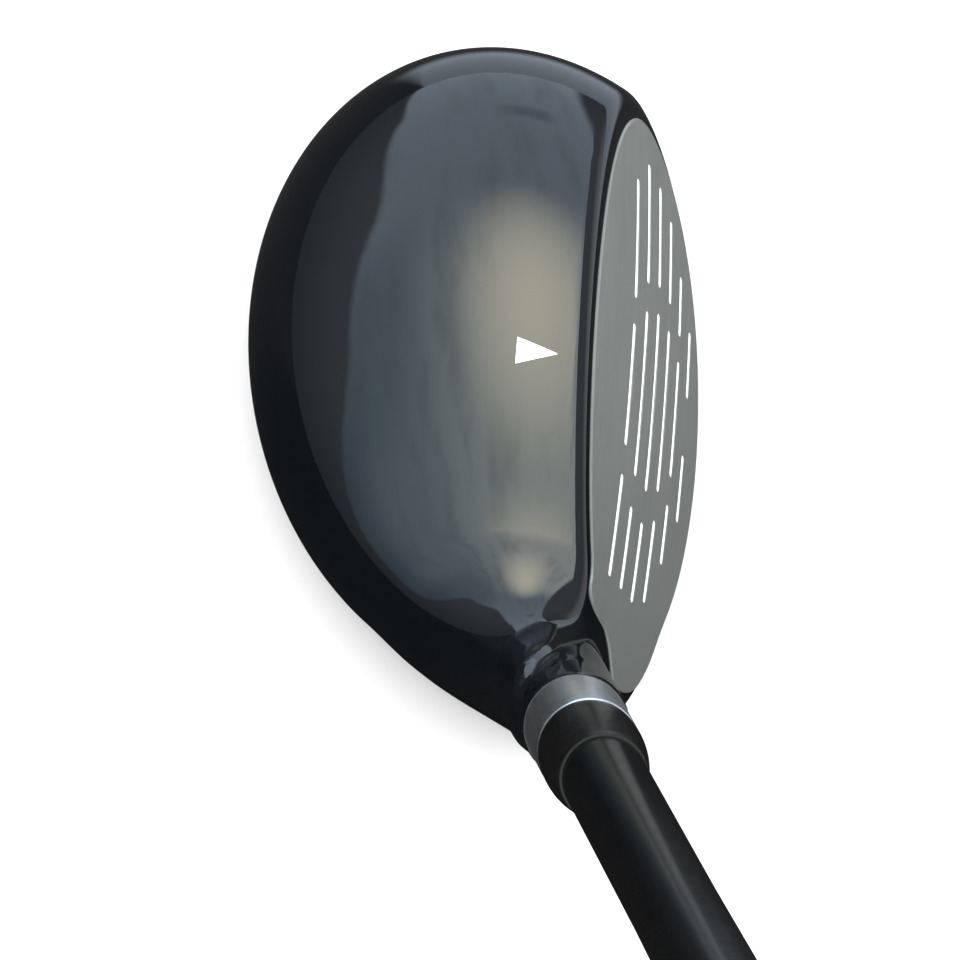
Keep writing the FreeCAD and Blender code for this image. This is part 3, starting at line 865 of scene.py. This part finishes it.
def floor_paper():
    """Seamless pale paper; in reflections it is dim and darker towards the heel, with a painted
    pool of pale bluish light beyond the toe.
    """
    finish = Finish("floor_paper", Roughness=1.0, Specular_IOR_Level=0.0)
    spot = finish.spot()
    fibre = finish.noise(spot, 0.02, 4)
    x = finish.node("ShaderNodeSeparateXYZ", {}, {"Vector": spot})
    y = x.of("Y")
    # Painted light: a pale bluish patch on the paper beyond the toe, which only reflections see.
    beyond = y.over(66, 92) * (x + 0.34 * y).over(-8, 8)
    mirrored = finish.node("ShaderNodeLightPath", {}, {}).of("Is Glossy Ray")
    pale = finish.mixed(fibre, grey(0.72), grey(0.75))
    # In reflections the paper is dim, darker towards the heel side.
    dim = finish.mixed(y.over(-20, 40), grey(0.008), grey(0.035))
    dim = finish.mixed(beyond, dim, (0.46, 0.54, 0.62, 1))
    finish.feed("Base Color", finish.mixed(mirrored, pale, dim))
    return finish.material


# ---- building the club -------------------------------------------------------------

def dress(piece, material, slot, *nodes):
    piece.data.materials.clear()
    piece.data.materials.append(material)
    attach(piece, "root")
    if nodes:
        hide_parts(*nodes)


lacquer = gloss_paint()
steel = turned_steel()
paint = line_paint()
rubber = grip_rubber()

crown_shell, body_shell = painted_shells()
dress(crown_shell, lacquer, "black_lacquer", "crown")
dress(body_shell, lacquer, "black_lacquer", "head_body")
dress(face_plate(), brushed_steel(), "face_steel", "face_plate")
dress(score_lines("score_inlays", 0.05, SCORE_DEPTH - 0.02), paint, "white_paint",
      "score_line_paint")
dress(alignment_mark(), paint, "white_paint", "sight_mark")
dress(hosel_sleeve(), steel, "hosel_steel", "hosel")
dress(ferrule(), ferrule_plastic(), "ferrule_plastic", "ferrule")
dress(shaft_tube(), shaft_lacquer(), "shaft_lacquer", "shaft")
dress(grip_sleeve(), rubber, "grip_rubber", "grip")
dress(grip_cap(), rubber, "grip_rubber", "grip_cap")

glue = epoxy()
INNER_FINISHES = {"bore_stop": steel, "shaft_epoxy": glue, "rattle_glue": glue,
                  "tip_weight": brass(), "sole_weight": cast_weight(), "grip_tape": paper_tape()}
for node_name, material in INNER_FINISHES.items():
    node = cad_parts[node_name]
    node.data.materials.clear()
    node.data.materials.append(material)


# ---- floor, light and camera -------------------------------------------------------

def floor():
    shape = bmesh.new()
    bmesh.ops.create_circle(shape, cap_ends=True, segments=128, radius=60000)
    sheet = new_piece("floor", shape)
    sheet.data.materials.append(floor_paper())


def studio():
    """Even soft light from all round; the gloss sees overhead panels and dim walls."""
    world = bpy.data.worlds.new("studio")
    world.use_nodes = True
    bpy.context.scene.world = world
    bench = Bench(world.node_tree)
    bench.tree.nodes.clear()
    aim = bench.node("ShaderNodeTexCoord", {}, {}).of("Generated")
    x = bench.node("ShaderNodeSeparateXYZ", {}, {"Vector": aim})
    y = x.of("Y")
    z = x.of("Z")
    across = x / z.larger(0.08)
    along = y / z.larger(0.08)

    def lamp(middle_across, middle_along, half_across, half_along):
        """A soft oval patch on the ceiling."""
        reach = ((across - middle_across) * (1 / half_across)) ** 2
        reach = reach + ((along - middle_along) * (1 / half_along)) ** 2
        return 1 - (reach ** 0.5).over(0, 1)

    brow = y.over(-0.6, 0.12) * (1 - y.over(0.5, 1.02))
    above = z - 0.13 - 0.43 * brow + 0.2 * y.over(0.85, 0.97)
    before = 0.55 - 0.3 * y * y - x
    panel = above.over(-0.025, 0.025) * before.over(-0.02, 0.02)
    fold = z.over(0.34, 0.39) * (1 - z.over(0.41, 0.46)) * y.over(0.6, 0.75)
    fold = fold * x.over(-0.15, 0.05) * (1 - x.over(0.1, 0.2))
    weave = bench.node("ShaderNodeTexNoise", {},
                       {"Vector": bench.node("ShaderNodeVectorMath", {"operation": "MULTIPLY"},
                                             {0: aim, 1: (7, 2, 2)}),
                        "Scale": 1.5, "Detail": 3.0})
    wall = bench.mixed(z.over(-0.1, 0.6), (0.22, 0.25, 0.28, 1), (0.55, 0.62, 0.68, 1))
    bright = x.over(0.5, 0.95) * (1 - z.over(0.1, 0.4))
    wall = bench.mixed(bright, wall, (1.2, 1.22, 1.25, 1))
    edge = bench.mixed(y.over(-0.5, 0.2), (0.5, 0.75, 0.95, 1), (1.2, 1.6, 1.9, 1))
    edge = bench.mixed(above.over(0, 0.45), edge, (1.62, 2.05, 2.4, 1))
    sheet = bench.mixed(across.over(-0.85, 0.1), edge, (4.2, 4.7, 4.5, 1))
    sheet = bench.mixed(along.over(0.35, 0.95), sheet, (1.8, 2.2, 2.6, 1))
    sheet = bench.mixed(0.35 * weave.over(0.45, 0.75), sheet, (1.0, 1.15, 1.3, 1))
    sheet = bench.mixed(lamp(0.0, 0.33, 0.46, 0.66), sheet, (8.6, 8.2, 6.7, 1))
    sheet = bench.mixed(lamp(0.03, -0.80, 0.42, 0.62), sheet, (8.6, 8.2, 6.7, 1))
    sheet = bench.mixed(0.55 * fold, sheet, (0.7, 0.8, 1.1, 1))
    seen = bench.mixed(panel, wall, sheet)
    light = bench.mixed(z.over(-0.2, 1), grey(1.5), grey(2.9))
    rays = bench.node("ShaderNodeLightPath", {}, {})
    sky = bench.mixed(rays.of("Is Glossy Ray"), light, seen)
    sky = bench.mixed(rays.of("Is Camera Ray"), sky, grey(1.0))
    background = bench.node("ShaderNodeBackground", {}, {"Color": sky, "Strength": 1.0})
    bench.node("ShaderNodeOutputWorld", {}, {"Surface": background})


def camera():
    lens = bpy.data.cameras.new("camera")
    lens.lens = 440.8
    lens.sensor_width = 36
    lens.clip_start = 0.05
    lens.clip_end = 500
    stand = bpy.data.objects.new("camera", lens)
    bpy.context.scene.collection.objects.link(stand)
    right = Vector((0.98590, 0.06525, 0.15407))
    up = Vector((-0.11384, 0.93643, 0.33188))
    back = right.cross(up)
    place = Matrix((right, up, back)).transposed().to_4x4()
    place.translation = Vector((-0.17353, -0.50326, 1.33505))
    stand.matrix_world = place
    bpy.context.scene.camera = stand


floor()
studio()
camera()
bpy.context.scene.view_settings.view_transform = "Standard"
